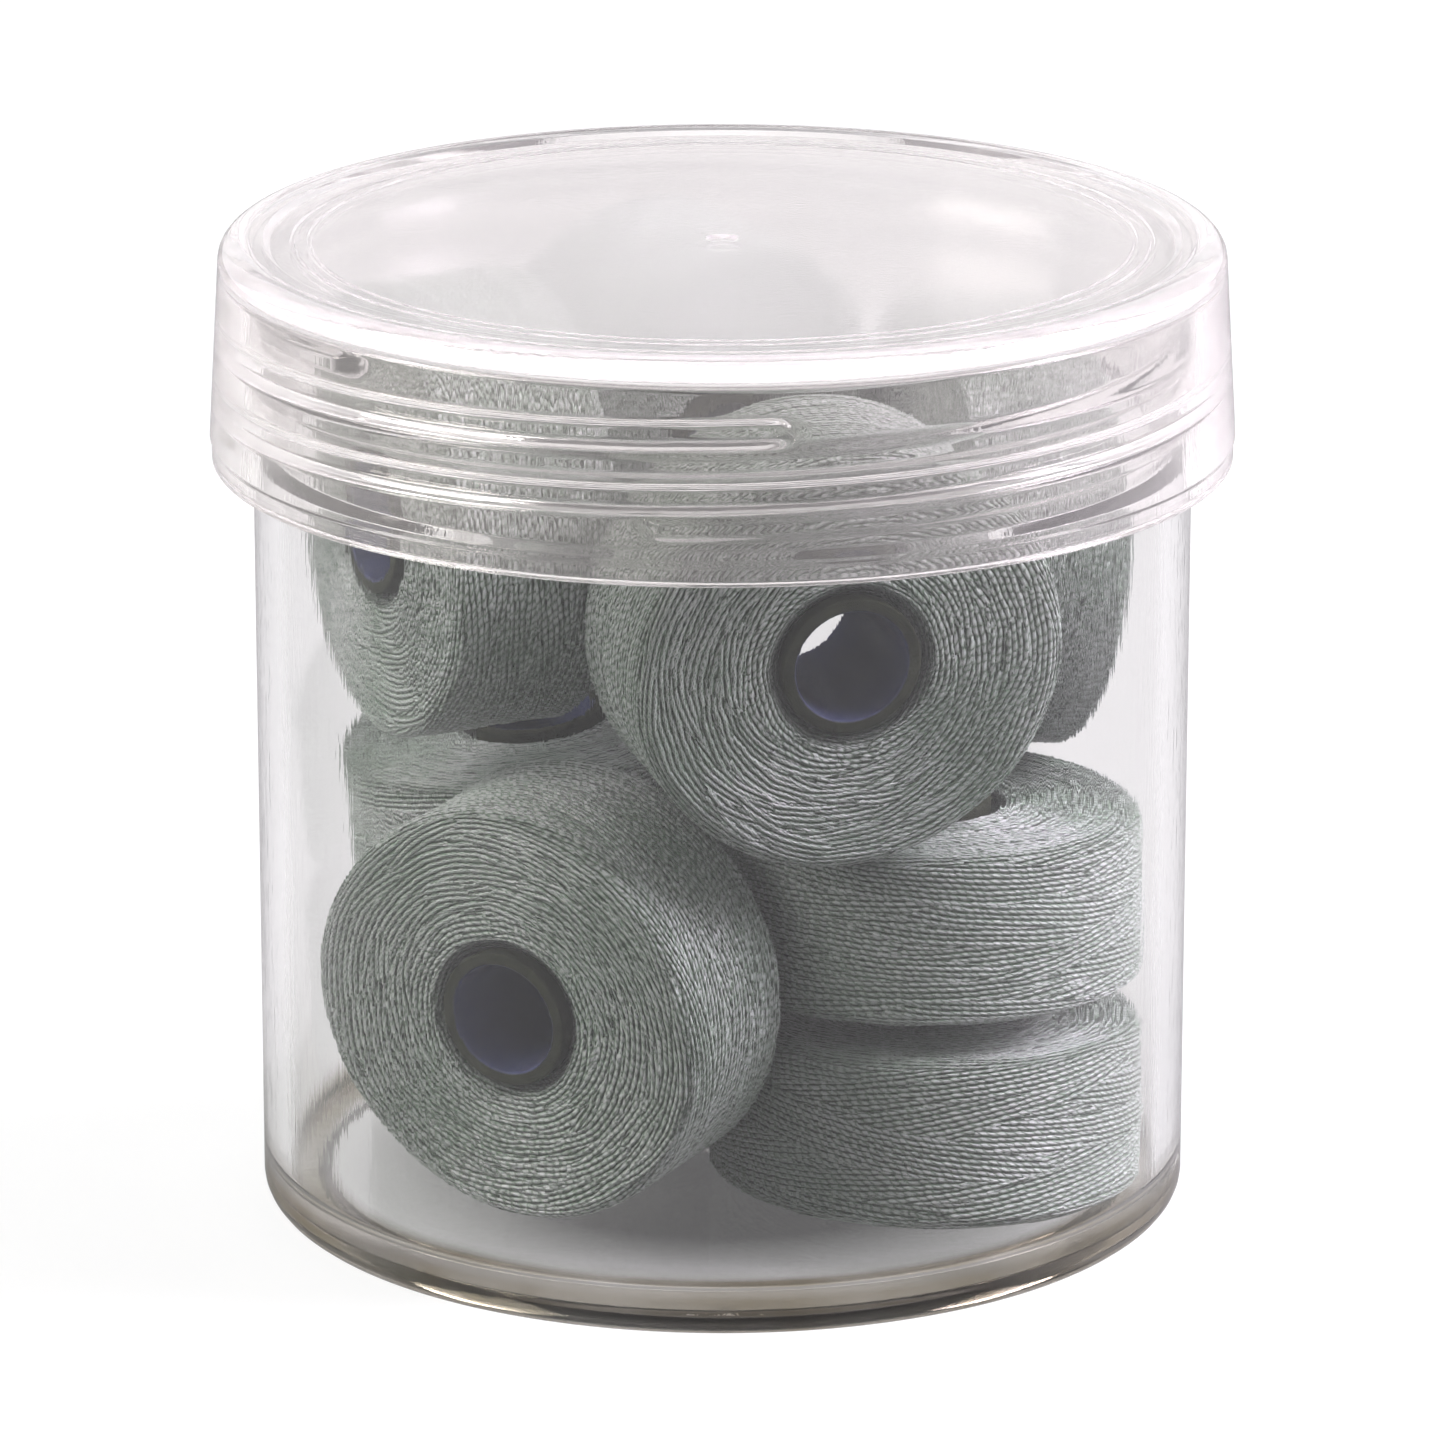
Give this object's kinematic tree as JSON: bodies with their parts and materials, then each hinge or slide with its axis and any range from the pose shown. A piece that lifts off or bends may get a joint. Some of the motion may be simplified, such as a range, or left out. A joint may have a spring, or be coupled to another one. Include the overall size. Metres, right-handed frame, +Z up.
{
  "type": "bobbin box",
  "caption": "Round clear screw-top jar filled with loose sideless pre-wound sewing-machine bobbins on card cores.",
  "frame": {"origin": "centre of the jar's standing ring, on the surface it stands on", "axes": "+Z up the jar's axis, out through the lid; -Y is the front; +X is to the right seen from the front"},
  "size_m": [0.0556, 0.0556, 0.0541],
  "materials": {
    "jar": "clear, polished",
    "lid": "clear, slightly milky",
    "liner": "clear",
    "thread": "silky filament thread, grey-green",
    "card_core": "dark matt card"
  },
  "bodies": {
    "jar": {"jar": "jar"},
    "liner": {"lid_liner": "liner"},
    "lid": {"lid": "lid"},
    "bobbin_low_right": {"bobbin_low_right_core": "card_core", "bobbin_low_right_winding": "thread"},
    "bobbin_low_rear": {"bobbin_low_rear_core": "card_core", "bobbin_low_rear_winding": "thread"},
    "bobbin_stacked_right": {"bobbin_stacked_right_core": "card_core", "bobbin_stacked_right_winding": "thread"},
    "bobbin_middle_left": {"bobbin_middle_left_core": "card_core", "bobbin_middle_left_winding": "thread"},
    "bobbin_front_left": {"bobbin_front_left_core": "card_core", "bobbin_front_left_winding": "thread"},
    "bobbin_upper_front": {"bobbin_upper_front_core": "card_core", "bobbin_upper_front_winding": "thread"},
    "bobbin_upper_right": {"bobbin_upper_right_core": "card_core", "bobbin_upper_right_winding": "thread"},
    "bobbin_upper_left": {"bobbin_upper_left_core": "card_core", "bobbin_upper_left_winding": "thread"},
    "bobbin_upper_rear": {"bobbin_upper_rear_core": "card_core", "bobbin_upper_rear_winding": "thread"}
  },
  "joints": [
    {"name": "lid_lift", "type": "slide", "parent": "jar", "child": "liner", "axis": [0, 0, 1], "range_m": [0, 0.0086]},
    {"name": "lid_turn", "type": "hinge", "parent": "liner", "child": "lid", "pos_m": [0, 0, 0.0481], "axis": [0, 0, 1], "range_deg": [0, 900]},
    {"name": "low_right_spin", "type": "hinge", "parent": "jar", "child": "bobbin_low_right", "pos_m": [0.01086, -0.00556, 0.0076], "axis": [0.0116, 0.0311, 0.9995], "continuous": true},
    {"name": "low_rear_spin", "type": "hinge", "parent": "jar", "child": "bobbin_low_rear", "pos_m": [-0.00876, 0.00761, 0.0077], "axis": [-0.0251, 0.0357, 0.999], "continuous": true},
    {"name": "stacked_right_spin", "type": "hinge", "parent": "jar", "child": "bobbin_stacked_right", "pos_m": [0.01087, -0.00509, 0.0191], "axis": [-0.0133, 0.0139, 0.9998], "continuous": true},
    {"name": "middle_left_spin", "type": "hinge", "parent": "jar", "child": "bobbin_middle_left", "pos_m": [-0.00975, 0.00683, 0.0206], "axis": [-0.1305, -0.0576, 0.9898], "continuous": true},
    {"name": "front_left_spin", "type": "hinge", "parent": "jar", "child": "bobbin_front_left", "pos_m": [-0.00891, -0.01317, 0.0157], "axis": [-0.5301, -0.8451, -0.0698], "continuous": true},
    {"name": "upper_front_spin", "type": "hinge", "parent": "jar", "child": "bobbin_upper_front", "pos_m": [0.00514, -0.01536, 0.0362], "axis": [0.3145, -0.9454, -0.0854], "continuous": true},
    {"name": "upper_right_spin", "type": "hinge", "parent": "jar", "child": "bobbin_upper_right", "pos_m": [0.01462, 0.00515, 0.036], "axis": [0.9637, 0.2528, -0.0854], "continuous": true},
    {"name": "upper_left_spin", "type": "hinge", "parent": "jar", "child": "bobbin_upper_left", "pos_m": [-0.01436, -0.00497, 0.0399], "axis": [-0.8965, -0.4431, 0], "continuous": true},
    {"name": "upper_rear_spin", "type": "hinge", "parent": "jar", "child": "bobbin_upper_rear", "pos_m": [-0.00335, 0.01225, 0.0393], "axis": [0.6549, -0.7325, -0.1857], "continuous": true}
  ],
  "couplings": [
    {"joint": "lid_lift", "follows": "lid_turn", "m_per_rad": 0.00054113}
  ]
}
